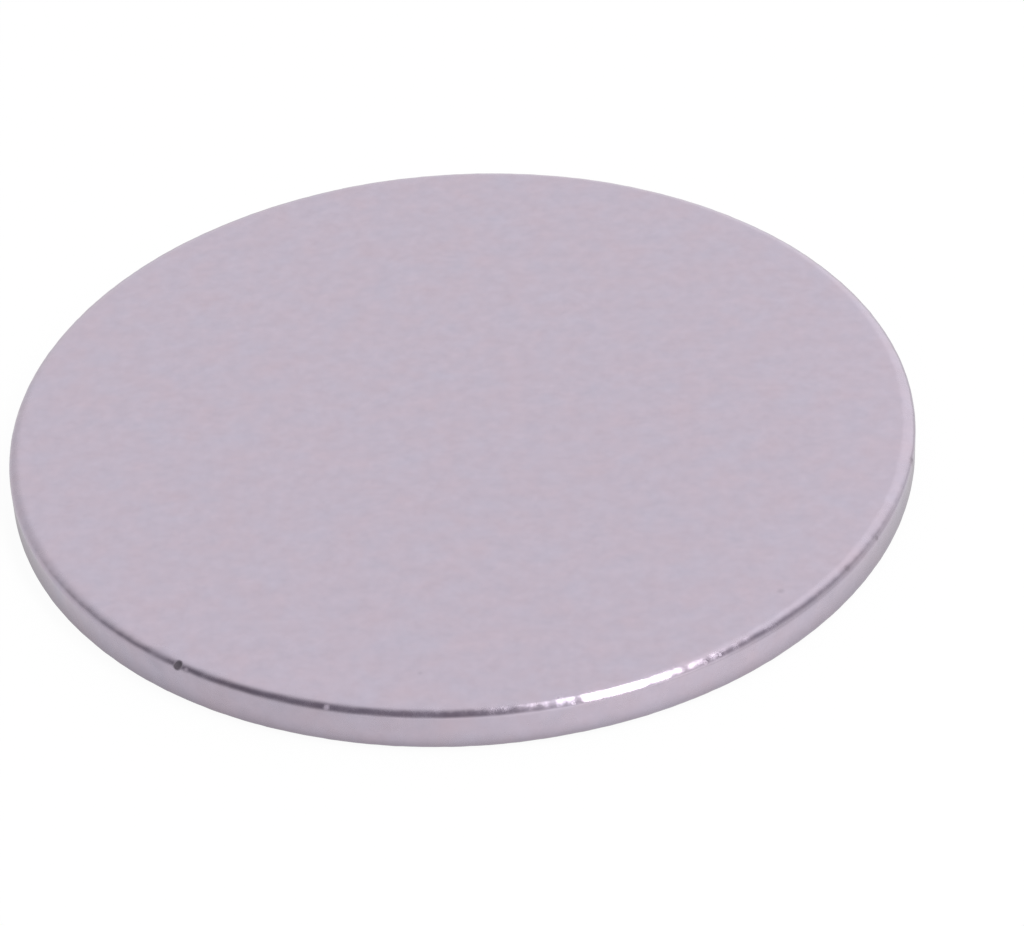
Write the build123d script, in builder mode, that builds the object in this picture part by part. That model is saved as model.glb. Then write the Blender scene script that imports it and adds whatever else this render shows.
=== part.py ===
from build123d import *
import os

# Thin disc magnet: one sintered piece, plated with nickel, its edges rounded by tumbling.
# It lies on its lower pole face. The origin is the centre of that face, and +Z is the axis of the disc,
# along which it is magnetised. Sizes are in millimetres and angles in degrees.

# Overall size
disc_diameter = 20.0
disc_thickness = 1.0

# Tumbled edges, quarter ellipses: tumbling wears the face back further than it wears the side down
edge_run = 0.30
edge_drop = 0.20

# Knock in the upper edge: a small dent, as a ball would leave, at one place on the rim
nick_angle = 232.2
nick_radius = 0.12
nick_depth = 0.04
# Its place between the side, 0, and the upper face, 1, along the rounded edge
nick_share = 0.45

# The flat pole faces end where the rounded edges start
disc_radius = disc_diameter / 2
flat_radius = disc_radius - edge_run
upper_edge_start = disc_thickness - edge_drop

with BuildPart() as disc_magnet:
    # Half of the section, from the axis out to the side, turned about the axis
    with BuildSketch(Plane.XZ) as half_section:
        with BuildLine() as outline:
            lower_face = Line((0, 0), (flat_radius, 0))
            lower_edge = EllipticalCenterArc(
                (flat_radius, edge_drop), edge_run, edge_drop, start_angle=270, arc_size=90
            )
            upper_edge = EllipticalCenterArc(
                (flat_radius, upper_edge_start), edge_run, edge_drop, start_angle=0, arc_size=90
            )
            Line(lower_edge @ 1, upper_edge @ 0)
            upper_face = Line(upper_edge @ 1, (0, disc_thickness))
            Line(upper_face @ 1, lower_face @ 0)
        make_face()
    revolve(axis=Axis.Z)

    # The dent's ball stands out from the rounded edge, along the edge's normal, by all but its depth
    nick_normal = (upper_edge % nick_share).rotate(Axis.Z, -90)
    nick_centre = upper_edge @ nick_share + nick_normal * (nick_radius - nick_depth)
    with Locations((0, 0, nick_centre.Y)):
        with PolarLocations(nick_centre.X, 1, start_angle=nick_angle):
            Sphere(nick_radius, mode=Mode.SUBTRACT)

disc_magnet.part.label = "disc_magnet"

os.makedirs("parts", exist_ok=True)
export_step(disc_magnet.part, "parts/disc_magnet.step")

print(f"disc_magnet volume {disc_magnet.part.volume:.4f} mm3, box {disc_magnet.part.bounding_box().size}")
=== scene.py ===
# %% [markdown]
# # A thin disc magnet
#
# The object is one piece: a disc of sintered metal powder, 20 mm across and 1 mm thick, plated with nickel.
# It has no parts that move, so all of its look comes from three things: the shape of its rounded edge,
# the nickel finish, and what that finish reflects. This lesson takes them in that order.
#
# The imported CAD model comes first, as a fixed frame in metres. Its box gives the disc's size.

import bpy
import numpy as np
from mathutils import Matrix, Vector


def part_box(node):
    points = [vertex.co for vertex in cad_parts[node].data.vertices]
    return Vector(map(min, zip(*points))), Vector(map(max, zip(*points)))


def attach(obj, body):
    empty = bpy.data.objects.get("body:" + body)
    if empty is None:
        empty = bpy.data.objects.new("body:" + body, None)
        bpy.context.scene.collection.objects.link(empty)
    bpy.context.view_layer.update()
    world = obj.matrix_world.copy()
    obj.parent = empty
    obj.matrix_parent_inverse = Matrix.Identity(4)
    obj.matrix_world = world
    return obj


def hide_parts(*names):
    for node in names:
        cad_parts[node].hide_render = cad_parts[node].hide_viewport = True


MM = 0.001

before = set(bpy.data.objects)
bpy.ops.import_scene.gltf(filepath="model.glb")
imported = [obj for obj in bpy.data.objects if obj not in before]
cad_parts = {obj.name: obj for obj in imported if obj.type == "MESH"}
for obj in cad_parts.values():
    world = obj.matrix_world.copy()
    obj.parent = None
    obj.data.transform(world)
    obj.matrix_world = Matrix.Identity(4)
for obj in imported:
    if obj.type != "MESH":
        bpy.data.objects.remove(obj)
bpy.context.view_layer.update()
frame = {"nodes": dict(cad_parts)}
low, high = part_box("disc_magnet")
disc_radius = (high.x - low.x) / 2
disc_thickness = high.z - low.z
print(f"CAD nodes: {', '.join(frame['nodes'])}")
print(f"disc {2 * disc_radius / MM:.2f} mm across and {disc_thickness / MM:.2f} mm thick")

# %% [markdown]
# ## The camera
#
# The photograph looks down on the disc at about 37 degrees, from four diameters away, with the camera
# turned a little about its own axis, so the disc seems to lean to the left. A camera could be placed by
# eye. Here it is worked out instead: its elevation, roll and focal length come from fitting the disc's
# outline, and the last turn aims it so that the centre of the disc's underside lands on its own pixel of
# the photograph.

# %% Place the camera
IMAGE_WIDTH, IMAGE_HEIGHT = 1024, 926
SENSOR_WIDTH = 36.0
camera_elevation = np.radians(37.07)
camera_roll = np.radians(-3.69)
camera_distance = 80 * MM
focal_length_px = 3589.6
disc_centre_px = (463.3, 450.8)


def camera_turn(elevation, roll, centre_px, focal_px):
    """The camera's rotation, and the direction from the origin to the camera. The rotation is first the axes
    of a camera that looks straight at the origin from that elevation, then the roll about its line of sight,
    then the turn that moves the origin from the middle of the picture to the pixel centre_px."""
    right = Vector((1, 0, 0))
    up = Vector((0, np.sin(elevation), np.cos(elevation)))
    back = Vector((0, -np.cos(elevation), np.sin(elevation)))
    level = Matrix((right, up, back)).transposed()
    across_px = centre_px[0] - IMAGE_WIDTH / 2
    up_px = IMAGE_HEIGHT / 2 - centre_px[1]
    to_origin = Vector((across_px, up_px, -focal_px)).normalized()
    aim = to_origin.rotation_difference(Vector((0, 0, -1))).to_matrix()
    return level @ Matrix.Rotation(roll, 3, "Z") @ aim, back


camera_matrix, camera_back = camera_turn(camera_elevation, camera_roll, disc_centre_px, focal_length_px)
camera = bpy.data.objects.new("camera", bpy.data.cameras.new("camera"))
camera.data.sensor_width = SENSOR_WIDTH
camera.data.lens = focal_length_px / IMAGE_WIDTH * SENSOR_WIDTH
camera.data.clip_start = 1 * MM
camera.matrix_world = Matrix.Translation(camera_back * camera_distance) @ camera_matrix.to_4x4()
bpy.context.scene.collection.objects.link(camera)
bpy.context.scene.camera = camera
print(f"camera lens {camera.data.lens:.1f} mm at {camera_distance / MM:.0f} mm")

# %% [markdown]
# ## The section of the disc
#
# Such discs are tumbled with abrasive stones before they are plated, which rounds both edges. The rounding
# is a quarter of an ellipse: the face is worn back further than the side is worn down. A bevel modifier
# could round a cylinder, but it would give a quarter of a circle and the same edge all round. So the whole
# skin is one surface with two parameters: the station along the section, from the middle of the lower face
# out, up the side and back to the middle of the upper face, and the angle round the disc.
#
# Stations lie close together on the rounded edges, where the reflections change within a few hundredths of
# a millimetre, and far apart on the flat faces.

# %% Stations along the section
EDGE_RUN = 0.30 * MM
EDGE_DROP = 0.20 * MM
FACE_RINGS, LOWER_EDGE_ROWS, SIDE_ROWS, UPPER_EDGE_ROWS = 6, 10, 8, 26


def section_stations():
    """Three numbers for each station. flat is the share of the flat face's radius: it runs from 0 to 1 on
    the lower face, stays 1 on the edges and the side, and runs back to 0 on the upper face. slope is the
    angle on the ellipse: -90 degrees on the lower face, 0 on the side, 90 on the upper face. rise runs from
    0 to 1 up the side."""
    quarter = np.pi / 2
    pieces = [
        (np.linspace(0, 1, FACE_RINGS, endpoint=False), -quarter, 0),
        (1, np.linspace(-quarter, 0, LOWER_EDGE_ROWS, endpoint=False), 0),
        (1, 0, np.linspace(0, 1, SIDE_ROWS, endpoint=False)),
        (1, np.linspace(0, quarter, UPPER_EDGE_ROWS, endpoint=False), 1),
        (np.linspace(1, 0, FACE_RINGS), quarter, 1),
    ]
    return np.hstack([np.array(np.broadcast_arrays(*piece)) for piece in pieces])


flat, slope, rise = section_stations()
print(f"{flat.size} stations along the section")

# %% [markdown]
# ## Knocks in the rim
#
# Hard, brittle discs that snap together get small knocks. The largest sits on the upper edge at the front
# left, and two shallow ones lie on the edge at the right. Each is pressed into the surface as by a small
# ball. Sculpting them by hand would do as well, but a ball has an angle and a size that can be read off the
# photograph, and one depth to adjust.
#
# The angles round the disc lie closer together at each knock, so that it keeps its round outline.

# %% Knocks and the angles round the disc
# Angle round the disc and angle on the edge's ellipse, in degrees,
# then the ball's radius and the depth of the knock, in mm
KNOCKS = np.array([
    (232.2, 46, 0.120, 0.040),
    (329.1, 22, 0.100, 0.010),
    (345.6, 10, 0.140, 0.020),
])
EVEN_ANGLES = 1260
CLOSE_ANGLES = 31
CLOSE_SPREAD = 0.16 * MM

close = np.radians(KNOCKS[:, :1]) + np.linspace(-1, 1, CLOSE_ANGLES) * CLOSE_SPREAD / disc_radius
even = np.linspace(0, 2 * np.pi, EVEN_ANGLES, endpoint=False)
angles = np.unique(np.concatenate([even, close.ravel()]))
print(f"{angles.size} angles round the disc")

# %% [markdown]
# ## The skin
#
# Tumbling never wears an edge quite evenly, so the run and the drop of the ellipse swell and shrink by a
# few per cent round the disc. A sum of sine waves gives that: long waves for uneven wear, short ones for
# the marks of single stones. Every wave has a whole number of turns, so the surface closes on itself.

# %% Work out the skin
# Number of turns round the disc, height as a share of the run or the drop, and phase
LONG_WAVES = ((2, 0.030, 0.4), (5, 0.025, 2.1), (11, 0.020, 4.0), (23, 0.016, 1.3))
SHORT_WAVES = ((61, 0.022, 0.7), (97, 0.018, 3.9), (143, 0.012, 5.2), (229, 0.008, 2.6))
# The waves of the drop are those of the run, turned this far round the disc, in radians
DROP_SHIFT = 1.7


def wear(angle, waves, shift):
    """Sum of sine waves round the disc. Each wave is its height times a sine, of its turns times the angle
    plus its phase. shift turns all the waves round the disc by that angle."""
    turns, height, phase = np.array(waves).T[:, :, None]
    return (height * np.sin(turns * angle + phase + shift * turns)).sum(axis=0)


def disc_skin(angle):
    """Points of the skin, one row per station and one column per angle. Radius: the share flat of the flat
    face's radius, plus the edge's run times the cosine of slope. Height: on the lower half the edge's drop
    times one plus the sine of slope, on the upper half the thickness less the drop times one minus that
    sine, and on the side a straight line between the two."""
    run = EDGE_RUN * (1 + wear(angle, LONG_WAVES, 0.0) + wear(angle, SHORT_WAVES, 0.0))
    drop = EDGE_DROP * (1 + wear(angle, LONG_WAVES, DROP_SHIFT) + wear(angle, SHORT_WAVES, DROP_SHIFT))
    flat_col, slope_col, rise_col = flat[:, None], slope[:, None], rise[:, None]
    radius = flat_col * (disc_radius - run) + run * np.cos(slope_col)
    lower = drop * (1 + np.sin(slope_col))
    upper = disc_thickness - drop * (1 - np.sin(slope_col))
    height = (1 - rise_col) * lower + rise_col * upper
    return np.stack([radius * np.cos(angle), radius * np.sin(angle), height], axis=-1)


skin = disc_skin(angles)
print(f"skin {skin.shape[0]} x {skin.shape[1]} points")

# %% [markdown]
# Now the knocks go in. A Boolean cut with a ball would leave long thin triangles round each of them. So the
# points that a ball covers are moved onto the ball instead, and the grid stays as it was.

# %% Press the knocks into the skin


def off_edge(angle, edge_slope, stand_off):
    """A point that stands off the upper edge: the place on the ellipse at that slope, moved out along the
    ellipse's normal by stand_off, and turned to that angle round the disc."""
    across = np.array([EDGE_RUN * np.cos(edge_slope), EDGE_DROP * np.sin(edge_slope)])
    normal = np.array([np.cos(edge_slope) / EDGE_RUN, np.sin(edge_slope) / EDGE_DROP])
    ellipse_middle = np.array([disc_radius - EDGE_RUN, disc_thickness - EDGE_DROP])
    out, up = ellipse_middle + across + normal / np.linalg.norm(normal) * stand_off
    return np.array([out * np.cos(angle), out * np.sin(angle), up])


def press_ball(points, angle, edge_slope, ball_radius, depth):
    """Presses one ball into the upper edge. Its middle stands off the edge by its radius less the depth.
    Every point inside the ball moves straight out from its middle onto its skin."""
    middle = off_edge(angle, edge_slope, ball_radius - depth)
    away = points - middle
    distance = np.linalg.norm(away, axis=-1, keepdims=True)
    return np.where(distance < ball_radius, middle + away / distance * ball_radius, points)


for turn_degrees, slope_degrees, ball_mm, depth_mm in KNOCKS:
    skin = press_ball(skin, np.radians(turn_degrees), np.radians(slope_degrees), ball_mm * MM, depth_mm * MM)
print(f"{len(KNOCKS)} knocks; the skin is {skin[..., 2].max() / MM:.3f} mm high")

# %% [markdown]
# ## From points to a mesh
#
# Four neighbouring points of the grid make a face, and the last column joins the first. The first and last
# rows are both a single place, the middle of a face, so each becomes one vertex with a fan of triangles
# round it. Blender could turn a drawn section about the axis instead, but then every angle would have the
# same section, with no wear and no knocks.

# %% Make the mesh


def grid_mesh(name, points):
    """A closed mesh from a grid whose columns go round and whose first and last rows are single points. The
    faces are wound so that they point outwards."""
    rows, columns = points.shape[:2]
    ring = np.arange(columns)
    after = np.roll(ring, -1)
    row_start = 1 + columns * np.arange(rows - 3)[:, None]
    next_start = row_start + columns
    quads = np.stack([row_start + ring, row_start + after, next_start + after, next_start + ring], -1)
    last_start = 1 + columns * (rows - 3)
    pole = 1 + columns * (rows - 2)
    lower_fan = np.stack([np.zeros_like(ring), 1 + after, 1 + ring], -1)
    upper_fan = np.stack([np.full_like(ring, pole), last_start + ring, last_start + after], -1)
    vertices = np.vstack([points[0, :1], points[1:-1].reshape(-1, 3), points[-1, :1]])
    mesh = bpy.data.meshes.new(name)
    mesh.from_pydata(vertices, [], quads.reshape(-1, 4).tolist() + lower_fan.tolist() + upper_fan.tolist())
    mesh.polygons.foreach_set("use_smooth", np.ones(len(mesh.polygons), dtype=bool))
    mesh.update()
    piece = bpy.data.objects.new(name, mesh)
    bpy.context.scene.collection.objects.link(piece)
    return piece


plated_disc = grid_mesh("plated_disc", skin)
triangle_count = sum(len(face.vertices) - 2 for face in plated_disc.data.polygons)
print(f"plated_disc: {triangle_count} triangles")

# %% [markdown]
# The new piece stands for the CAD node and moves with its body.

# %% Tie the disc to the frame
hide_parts("disc_magnet")
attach(plated_disc, "root")
print(f"{plated_disc.name} replaces disc_magnet, rides on root and takes the slot nickel_plating")

# %% [markdown]
# ## Nickel plating
#
# Electroplated nickel over a tumbled, sintered core is a satin metal: it mirrors the room, softly, because
# the core's grain shows through the thin plating. In this light it is a lilac grey. The material is a metal
# with a low roughness. One flat colour would look like paint, so four patterns vary it: faint clouds of
# tint and a finer mottle of brightness from uneven plating, a fine grain in the roughness and in a very low
# relief, and duller patches where the stones scuffed the edges and the side. A painted picture could carry
# them, but noise worked out from the place on the disc needs no unwrapping, and its size is set in
# millimetres.

# %% Helpers for materials


def linear(hex_colour):
    """An sRGB hex colour as linear red, green, blue and 1: a value up to 0.04045 is divided by 12.92, and
    one above it has 0.055 added, is divided by 1.055 and is raised to the power 2.4."""
    srgb = np.array([int(hex_colour[k : k + 2], 16) for k in (1, 3, 5)]) / 255
    straight, curved = srgb / 12.92, ((srgb + 0.055) / 1.055) ** 2.4
    return (*np.where(srgb <= 0.04045, straight, curved).tolist(), 1.0)


def add_node(tree, kind, settings, inputs):
    """Adds one node. settings are its own properties; inputs are values, or outputs of other nodes to
    link."""
    node = tree.nodes.new(kind)
    for name, value in settings.items():
        setattr(node, name, value)
    for name, value in inputs.items():
        if isinstance(value, bpy.types.NodeSocket):
            tree.links.new(value, node.inputs[name])
        else:
            node.inputs[name].default_value = value
    return node


def empty_tree(owner):
    """Turns on an owner's nodes and removes those it starts with."""
    owner.use_nodes = True
    owner.node_tree.nodes.clear()
    return owner.node_tree


# A Mix node has a set of sockets for each type of data; these are the ones for colour
MIX_FACTOR, MIX_A, MIX_B, MIX_RESULT = 0, 6, 7, 2
# A Map Range node that starts and ends gently
SMOOTH = {"interpolation_type": "SMOOTHSTEP"}
# Most of a noise pattern lies between these two values
NOISE_LOW, NOISE_HIGH = 0.3, 0.7
WHITE = linear("#FFFFFF")

# %% The nickel's colour
# Plating varies in tint over about a millimetre and in brightness over a third of one, both by very little
CLOUD_SIZE = 0.9 * MM
MOTTLE_SIZE = 0.35 * MM
MOTTLE_DARK, MOTTLE_PALE = 0.965, 1.035
WARM_NICKEL, COOL_NICKEL = linear("#C4B3BE"), linear("#BCB7C8")

nickel = bpy.data.materials.new("nickel plating, satin")
nodes = empty_tree(nickel)
place = add_node(nodes, "ShaderNodeTexCoord", {}, {})
cloud = add_node(nodes, "ShaderNodeTexNoise", {}, {
    "Vector": place.outputs["Object"], "Scale": 1 / CLOUD_SIZE, "Detail": 4.0, "Roughness": 0.6,
})
tint = add_node(nodes, "ShaderNodeMix", {"data_type": "RGBA"}, {
    MIX_FACTOR: cloud.outputs["Fac"], MIX_A: WARM_NICKEL, MIX_B: COOL_NICKEL,
})
mottle = add_node(nodes, "ShaderNodeTexNoise", {}, {
    "Vector": place.outputs["Object"], "Scale": 1 / MOTTLE_SIZE, "Detail": 4.0, "Roughness": 0.65,
})
shade = add_node(nodes, "ShaderNodeMapRange", {}, {
    "Value": mottle.outputs["Fac"], "From Min": NOISE_LOW, "From Max": NOISE_HIGH,
    "To Min": MOTTLE_DARK, "To Max": MOTTLE_PALE,
})
plating = add_node(nodes, "ShaderNodeVectorMath", {"operation": "SCALE"}, {
    0: tint.outputs[MIX_RESULT], "Scale": shade.outputs["Result"],
})
print(f"tint clouds {CLOUD_SIZE / MM:.2f} mm, brightness mottle {MOTTLE_SIZE / MM:.2f} mm")

# %% The nickel's gloss and grain
# The sintered grain is about 5 microns, too fine to show, so it is drawn ten times as coarse
GRAIN_SIZE = 0.05 * MM
GRAIN_DEPTH = 0.0004 * MM
GLOSSIEST, DULLEST = 0.17, 0.23
# The stones leave the edges and the side duller than the faces, in patches of about half a millimetre
PATCH_SIZE = 0.5 * MM
PATCH_STARTS, PATCH_FULL, PATCH_DULL = 0.35, 0.65, 0.08
EDGE_STARTS, EDGE_FULL = disc_radius - 0.34 * MM, disc_radius - 0.20 * MM

grain = add_node(nodes, "ShaderNodeTexNoise", {}, {
    "Vector": place.outputs["Object"], "Scale": 1 / GRAIN_SIZE, "Detail": 2.0, "Roughness": 0.6,
})
gloss = add_node(nodes, "ShaderNodeMapRange", {}, {
    "Value": grain.outputs["Fac"], "From Min": NOISE_LOW, "From Max": NOISE_HIGH,
    "To Min": GLOSSIEST, "To Max": DULLEST,
})
relief = add_node(nodes, "ShaderNodeBump", {}, {
    "Height": grain.outputs["Fac"], "Distance": GRAIN_DEPTH, "Strength": 1.0,
})
outward = add_node(nodes, "ShaderNodeVectorMath", {"operation": "MULTIPLY"}, {
    0: place.outputs["Object"], 1: (1.0, 1.0, 0.0),
})
reach = add_node(nodes, "ShaderNodeVectorMath", {"operation": "LENGTH"}, {0: outward.outputs["Vector"]})
edge = add_node(nodes, "ShaderNodeMapRange", {}, {
    "Value": reach.outputs["Value"], "From Min": EDGE_STARTS, "From Max": EDGE_FULL,
})
patch = add_node(nodes, "ShaderNodeTexNoise", {}, {
    "Vector": place.outputs["Object"], "Scale": 1 / PATCH_SIZE, "Detail": 2.0, "Roughness": 0.5,
})
tumbled = add_node(nodes, "ShaderNodeMapRange", {}, {
    "Value": patch.outputs["Fac"], "From Min": PATCH_STARTS, "From Max": PATCH_FULL,
    "To Min": 0.0, "To Max": PATCH_DULL,
})
roughness = add_node(nodes, "ShaderNodeMath", {"operation": "MULTIPLY_ADD"}, {
    0: edge.outputs["Result"], 1: tumbled.outputs["Result"], 2: gloss.outputs["Result"],
}).outputs["Value"]
print(f"grain {GRAIN_SIZE / MM:.2f} mm, dull patches {PATCH_SIZE / MM:.2f} mm")

# %% [markdown]
# Small marks complete it. In the largest knock the plating is broken, and the dull dark core shows. Some
# scuffs on the rounded edge are matt, so there its dark line pales, or its bright streak breaks, for a
# moment. At the right a little of the core shows in three places on the edge, and two faint specks lie on
# the face. Each mark is a soft round spot about a middle: no texture is painted, so a mark moves with its
# numbers.

# %% Marks in the plating
# On the rim: angle round the disc and on the edge's ellipse, in degrees; radius where the spot is full and
# where it ends, in mm; share of bare core; added roughness
RIM_MARKS = (
    (232.2, 42, 0.075, 0.130, 0.66, 0.65),
    (229.4, 40, 0.150, 0.350, 0.00, 0.14),
    (233.5, 36, 0.010, 0.080, 0.00, 0.40),
    (252.0, 40, 0.010, 0.100, 0.00, 0.50),
    (280.9, 32, 0.010, 0.040, 0.00, 0.50),
    (297.6, 35, 0.020, 0.055, 0.00, 0.50),
    (299.7, 40, 0.015, 0.045, 0.00, 0.50),
    (321.9, 42, 0.040, 0.100, 0.20, 0.00),
    (329.1, 22, 0.030, 0.080, 0.25, 0.10),
    (345.4, 4, 0.040, 0.180, 0.32, 0.10),
)
# On the upper face: x and y, the two radii, all in mm, and the share of bare core
FACE_MARKS = (
    (6.35, -6.81, 0.020, 0.120, 0.14),
    (-1.16, -8.66, 0.020, 0.080, 0.08),
)
# The middle of a mark on the rim lies this far under the plating
MARK_SINK = 0.02 * MM

marks = [
    (off_edge(np.radians(turn), np.radians(lean), -MARK_SINK), full, end, core, dull)
    for turn, lean, full, end, core, dull in RIM_MARKS
] + [
    (np.array([x * MM, y * MM, disc_thickness]), full, end, core, 0.0)
    for x, y, full, end, core in FACE_MARKS
]
print(f"{len(marks)} marks in the plating")

# %% Draw the marks
BARE_CORE = linear("#4A4446")

bare = 0.0
for middle, full, end, core, dull in marks:
    apart = add_node(nodes, "ShaderNodeVectorMath", {"operation": "DISTANCE"}, {
        0: place.outputs["Object"], 1: middle,
    })
    spot = add_node(nodes, "ShaderNodeMapRange", SMOOTH, {
        "Value": apart.outputs["Value"], "From Min": full * MM, "From Max": end * MM,
        "To Min": 1.0, "To Max": 0.0,
    })
    bare = add_node(nodes, "ShaderNodeMath", {"operation": "MULTIPLY_ADD"}, {
        0: spot.outputs["Result"], 1: core, 2: bare,
    }).outputs["Value"]
    roughness = add_node(nodes, "ShaderNodeMath", {"operation": "MULTIPLY_ADD"}, {
        0: spot.outputs["Result"], 1: dull, 2: roughness,
    }).outputs["Value"]
colour = add_node(nodes, "ShaderNodeMix", {"data_type": "RGBA"}, {
    MIX_FACTOR: bare, MIX_A: plating.outputs["Vector"], MIX_B: BARE_CORE,
})
print(f"{nickel.name}: {len(nodes.nodes)} nodes so far")

# %% Put the nickel together
shader = add_node(nodes, "ShaderNodeBsdfPrincipled", {}, {
    "Base Color": colour.outputs[MIX_RESULT], "Metallic": 1.0, "Roughness": roughness,
    "Normal": relief.outputs["Normal"],
})
add_node(nodes, "ShaderNodeOutputMaterial", {}, {"Surface": shader.outputs["BSDF"]})
plated_disc.data.materials.append(nickel)
print(f"{nickel.name}: {len(nodes.nodes)} nodes")

# %% [markdown]
# ## The floor
#
# The photograph shows the disc alone on white. The floor is a plain white sheet. A white sheet under soft
# light still renders a little grey. A stronger lamp would whiten it, but would burn out the metal. So most
# of its brightness is given to it as light of its own, for the camera and for the disc's reflections only.
# The rest is lit as usual, and keeps the disc's soft shadow. In the disc's reflections the sheet's own light
# carries painted light and shade: brightest right of the middle, dimmer to the left and at the far right,
# and a painted shadow close to the disc.

# %% Make the floor
FLOOR_SIDE = 600 * MM
FLOOR_GAP = 0.005 * MM

corners = np.array([(-1, -1), (1, -1), (1, 1), (-1, 1)]) * FLOOR_SIDE / 2
floor_mesh = bpy.data.meshes.new("floor")
floor_mesh.from_pydata(np.column_stack([corners, np.full(4, -FLOOR_GAP)]), [], [(0, 1, 2, 3)])
floor = bpy.data.objects.new("floor", floor_mesh)
bpy.context.scene.collection.objects.link(floor)
print(f"floor {FLOOR_SIDE / MM:.0f} mm wide")

# %% The floor as the disc mirrors it, with painted light and shade
# As mirrored, the sheet's own light carries painted light and shade: brightest right of the middle, dimmer
# to the left and at the far right, and a painted shadow close to the disc
PAINTED_SHADE_LEFT, PAINTED_SHADE_LEFT_FROM, PAINTED_SHADE_LEFT_TO = 0.77, -4.5 * MM, 3.5 * MM
PAINTED_SHADE_RIGHT, PAINTED_SHADE_RIGHT_FROM, PAINTED_SHADE_RIGHT_TO = 0.70, 6.5 * MM, 14.0 * MM
# Painted shadow in the mirrored sheet: its darkness at the disc's edge, and where it starts and ends
PAINTED_SHADOW_DARK, PAINTED_SHADOW_FROM, PAINTED_SHADOW_TO = 0.66, disc_radius + 0.08 * MM, disc_radius + 0.55 * MM
MIRRORED_WHITE = 1.05

white_sheet = bpy.data.materials.new("white paper sheet")
nodes = empty_tree(white_sheet)
place = add_node(nodes, "ShaderNodeTexCoord", {}, {})
axes = add_node(nodes, "ShaderNodeSeparateXYZ", {}, {"Vector": place.outputs["Object"]})
# Painted light and shade across the mirrored sheet: dimmer to the left, brightest right of the middle,
# dimmer at the far right
left_painted_shade = add_node(nodes, "ShaderNodeMapRange", {}, {
    "Value": axes.outputs["X"], "From Min": PAINTED_SHADE_LEFT_FROM, "From Max": PAINTED_SHADE_LEFT_TO,
    "To Min": PAINTED_SHADE_LEFT * MIRRORED_WHITE, "To Max": MIRRORED_WHITE,
})
right_painted_shade = add_node(nodes, "ShaderNodeMapRange", {}, {
    "Value": axes.outputs["X"], "From Min": PAINTED_SHADE_RIGHT_FROM, "From Max": PAINTED_SHADE_RIGHT_TO,
    "To Min": 1.0, "To Max": PAINTED_SHADE_RIGHT,
})
painted_shade_across = add_node(nodes, "ShaderNodeMath", {"operation": "MULTIPLY"}, {
    0: left_painted_shade.outputs["Result"], 1: right_painted_shade.outputs["Result"],
})
# Painted shadow: the mirrored sheet is darker close to the disc, by distance from the middle
from_middle = add_node(nodes, "ShaderNodeVectorMath", {"operation": "LENGTH"}, {0: place.outputs["Object"]})
painted_contact_shadow = add_node(nodes, "ShaderNodeMapRange", SMOOTH, {
    "Value": from_middle.outputs["Value"], "From Min": PAINTED_SHADOW_FROM, "From Max": PAINTED_SHADOW_TO,
    "To Min": PAINTED_SHADOW_DARK, "To Max": 1.0,
})
# The mirrored sheet's painted light and shade, times its painted shadow close to the disc
mirrored_painted_shade = add_node(nodes, "ShaderNodeMath", {"operation": "MULTIPLY"}, {
    0: painted_shade_across.outputs["Value"], 1: painted_contact_shadow.outputs["Result"],
})
print(f"{white_sheet.name}: {len(nodes.nodes)} nodes so far")

# %% White paper for the floor
# Share of the floor's brightness that is light of its own, for the camera and for what the disc mirrors
GLOW_SEEN, GLOW_MIRRORED = 0.94, 0.90
PAPER_WHITE = linear("#F8F8F8")

path = add_node(nodes, "ShaderNodeLightPath", {}, {})
seen = add_node(nodes, "ShaderNodeMath", {"operation": "MULTIPLY"}, {
    0: path.outputs["Is Camera Ray"], 1: GLOW_SEEN,
})
mirror_ray = add_node(nodes, "ShaderNodeMath", {"operation": "MAXIMUM"}, {
    0: path.outputs["Is Glossy Ray"], 1: path.outputs["Is Transmission Ray"],
})
share = add_node(nodes, "ShaderNodeMath", {"operation": "MULTIPLY_ADD"}, {
    0: mirror_ray.outputs["Value"], 1: GLOW_MIRRORED, 2: seen.outputs["Value"],
})
# The glow's strength: plain 1 for the camera; for mirrored rays it carries the painted light, shade and
# shadow
brightness = add_node(nodes, "ShaderNodeMapRange", {}, {
    "Value": mirror_ray.outputs["Value"], "To Min": 1.0, "To Max": mirrored_painted_shade.outputs["Value"],
})
paper = add_node(nodes, "ShaderNodeBsdfDiffuse", {}, {"Color": PAPER_WHITE})
glow = add_node(nodes, "ShaderNodeEmission", {}, {
    "Color": WHITE, "Strength": brightness.outputs["Result"],
})
sheet = add_node(nodes, "ShaderNodeMixShader", {}, {
    0: share.outputs["Value"], 1: paper.outputs["BSDF"], 2: glow.outputs["Emission"],
})
add_node(nodes, "ShaderNodeOutputMaterial", {}, {"Surface": sheet.outputs["Shader"]})
floor.data.materials.append(white_sheet)
print(f"{white_sheet.name}: {len(nodes.nodes)} nodes")

# %% [markdown]
# ## The room and the lamp
#
# A metal shows its surroundings. The flat face mirrors the wall behind the disc, which is white, and the
# side mirrors the white floor. The rounded edge mirrors everything between: the ceiling, and the front of
# the room, where the camera stands, and both are dark. That is the thin dark line along the rim. One long
# soft lamp, above and to the right, shows in that edge as a short white streak.
#
# The room is a world whose brightness depends only on the direction. Dark cards round the camera would do
# the same, but they would stand in the way of the other views. The back is white, a little dimmer to the
# left, brighter to the right, as by a window, and dim again at the far right. A low white band goes all the
# way round.

# %% Build the room
# Directions are unit vectors: y is 1 straight behind the disc, z is 1 straight above it, x is 1 to its right
BACK_STARTS, BACK_FULL = -0.25, 0.40
SWING_LEFT, SWING_RIGHT = 0.30, 0.22
BAND_FULL, BAND_ENDS = 0.15, 0.78
DARK_CEILING = linear("#847F88")

world = bpy.data.worlds.new("white room, dark ceiling")
bpy.context.scene.world = world
nodes = empty_tree(world)
place = add_node(nodes, "ShaderNodeTexCoord", {}, {})
axes = add_node(nodes, "ShaderNodeSeparateXYZ", {}, {"Vector": place.outputs["Generated"]})
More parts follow.
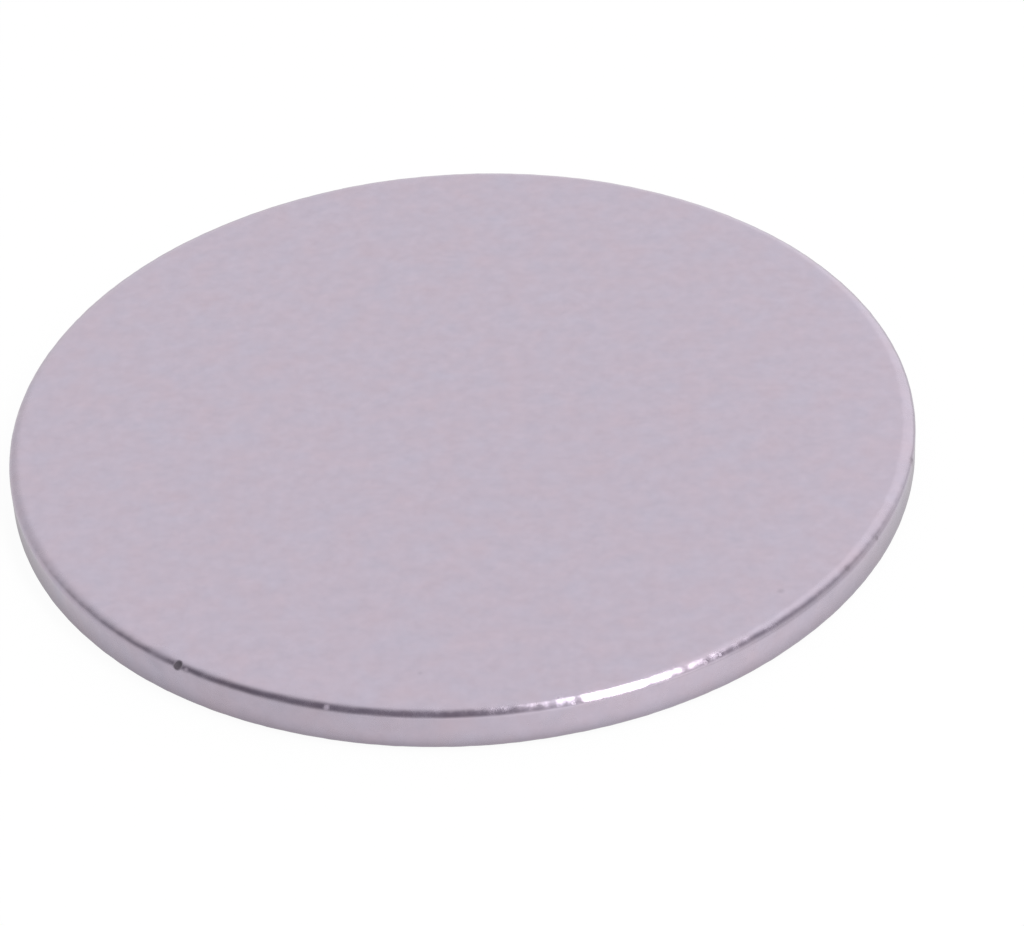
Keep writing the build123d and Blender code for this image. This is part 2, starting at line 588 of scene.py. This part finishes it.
# To the sides, and most to the left, the dark ceiling reaches further back
leftward = add_node(nodes, "ShaderNodeMath", {"operation": "MINIMUM"}, {0: axes.outputs["X"], 1: 0.0})
rightward = add_node(nodes, "ShaderNodeMath", {"operation": "MAXIMUM"}, {0: axes.outputs["X"], 1: 0.0})
swung = add_node(nodes, "ShaderNodeMath", {"operation": "MULTIPLY_ADD"}, {
    0: leftward.outputs["Value"], 1: SWING_LEFT, 2: axes.outputs["Y"],
})
rearward = add_node(nodes, "ShaderNodeMath", {"operation": "MULTIPLY_ADD"}, {
    0: rightward.outputs["Value"], 1: -SWING_RIGHT, 2: swung.outputs["Value"],
})
back = add_node(nodes, "ShaderNodeMapRange", SMOOTH, {
    "Value": rearward.outputs["Value"], "From Min": BACK_STARTS, "From Max": BACK_FULL,
})
band = add_node(nodes, "ShaderNodeMapRange", SMOOTH, {
    "Value": axes.outputs["Z"], "From Min": BAND_FULL, "From Max": BAND_ENDS, "To Min": 1.0, "To Max": 0.0,
})
pale = add_node(nodes, "ShaderNodeMath", {"operation": "MAXIMUM"}, {
    0: back.outputs["Result"], 1: band.outputs["Result"],
})
room = add_node(nodes, "ShaderNodeMix", {"data_type": "RGBA"}, {
    MIX_FACTOR: pale.outputs["Value"], MIX_A: DARK_CEILING, MIX_B: WHITE,
})
print(f"{world.name}: {len(nodes.nodes)} nodes so far")

# %% Dim and brighten the sides of the room
LEFT_DIM, LEFT_FULL, LEFT_ENDS = 0.78, -0.65, -0.20
RIGHT_BRIGHT, RIGHT_STARTS, RIGHT_FULL = 1.17, 0.08, 0.30
FAR_RIGHT_DIM, FAR_RIGHT_STARTS, FAR_RIGHT_FULL = 0.65, 0.72, 0.97

left = add_node(nodes, "ShaderNodeMapRange", SMOOTH, {
    "Value": axes.outputs["X"], "From Min": LEFT_FULL, "From Max": LEFT_ENDS,
    "To Min": LEFT_DIM, "To Max": 1.0,
})
right = add_node(nodes, "ShaderNodeMapRange", SMOOTH, {
    "Value": axes.outputs["X"], "From Min": RIGHT_STARTS, "From Max": RIGHT_FULL,
    "To Min": 1.0, "To Max": RIGHT_BRIGHT,
})
far_right = add_node(nodes, "ShaderNodeMapRange", SMOOTH, {
    "Value": axes.outputs["X"], "From Min": FAR_RIGHT_STARTS, "From Max": FAR_RIGHT_FULL,
    "To Min": 1.0, "To Max": FAR_RIGHT_DIM,
})
both_sides = add_node(nodes, "ShaderNodeMath", {"operation": "MULTIPLY"}, {
    0: left.outputs["Result"], 1: right.outputs["Result"],
})
level = add_node(nodes, "ShaderNodeMath", {"operation": "MULTIPLY"}, {
    0: both_sides.outputs["Value"], 1: far_right.outputs["Result"],
})
print(f"room: left {LEFT_DIM}, right {RIGHT_BRIGHT}, far right {RIGHT_BRIGHT * FAR_RIGHT_DIM:.2f}")

# %% [markdown]
# The camera sees the background plain white, and mirrored rays see the room, so the metal shows that white
# too, at its back and in its low band. All other light, which falls on the floor, comes evenly from all
# sides, so that the disc's shadow stays soft.

# %% Show the room in the metal
EVEN_LIGHT = 0.75

path = add_node(nodes, "ShaderNodeLightPath", {}, {})
mirror_ray = add_node(nodes, "ShaderNodeMath", {"operation": "MAXIMUM"}, {
    0: path.outputs["Is Glossy Ray"], 1: path.outputs["Is Transmission Ray"],
})
shown_ray = add_node(nodes, "ShaderNodeMath", {"operation": "MAXIMUM"}, {
    0: path.outputs["Is Camera Ray"], 1: mirror_ray.outputs["Value"],
})
shown_colour = add_node(nodes, "ShaderNodeMix", {"data_type": "RGBA"}, {
    MIX_FACTOR: mirror_ray.outputs["Value"], MIX_A: WHITE, MIX_B: room.outputs[MIX_RESULT],
})
shown_level = add_node(nodes, "ShaderNodeMapRange", {}, {
    "Value": mirror_ray.outputs["Value"], "To Min": 1.0, "To Max": level.outputs["Value"],
})
shown = add_node(nodes, "ShaderNodeBackground", {}, {
    "Color": shown_colour.outputs[MIX_RESULT], "Strength": shown_level.outputs["Result"],
})
soft_light = add_node(nodes, "ShaderNodeBackground", {}, {"Color": WHITE, "Strength": EVEN_LIGHT})
surroundings = add_node(nodes, "ShaderNodeMixShader", {}, {
    0: shown_ray.outputs["Value"], 1: soft_light.outputs["Background"], 2: shown.outputs["Background"],
})
add_node(nodes, "ShaderNodeOutputWorld", {}, {"Surface": surroundings.outputs["Shader"]})
print(f"{world.name}: {len(nodes.nodes)} nodes")

# %% [markdown]
# The lamp is an area light, a long narrow ellipse. In the curve of the edge it shows as the white streak.
# Its length sets how thick the streak is, and its width how far the streak runs along the rim. A sun lamp
# would be simpler, but it is always round, and here length and width have to be set apart.

# %% Place the lamp
LAMP_DIRECTION = Vector((0.400, -0.368, 0.840)).normalized()
LAMP_LONG_AXIS = Vector((0.230, -0.835, -0.500))
LAMP_DISTANCE = 350 * MM
LAMP_WIDTH, LAMP_LENGTH = 76 * MM, 480 * MM
# Light given off by each square metre of the lamp, in each direction; the floor's white is 1
LAMP_BRIGHTNESS = 7.5

across = LAMP_LONG_AXIS.cross(LAMP_DIRECTION).normalized()
along = LAMP_DIRECTION.cross(across)
lamp_data = bpy.data.lights.new("soft lamp", "AREA")
lamp_data.shape = "ELLIPSE"
lamp_data.size = LAMP_WIDTH
lamp_data.size_y = LAMP_LENGTH
lamp_area = np.pi / 4 * LAMP_WIDTH * LAMP_LENGTH
lamp_data.energy = LAMP_BRIGHTNESS * np.pi * lamp_area
lamp = bpy.data.objects.new("soft lamp", lamp_data)
lamp_turn = Matrix((across, along, LAMP_DIRECTION)).transposed()
lamp.matrix_world = Matrix.Translation(LAMP_DIRECTION * LAMP_DISTANCE) @ lamp_turn.to_4x4()
bpy.context.scene.collection.objects.link(lamp)
print(f"lamp {lamp_data.energy:.2f} W")

# %% [markdown]
# ## Finish
#
# Colours render as written, with no film curve. The new disc has to stay inside the CAD model's box.

# %% Finish
bpy.context.scene.view_settings.view_transform = "Standard"
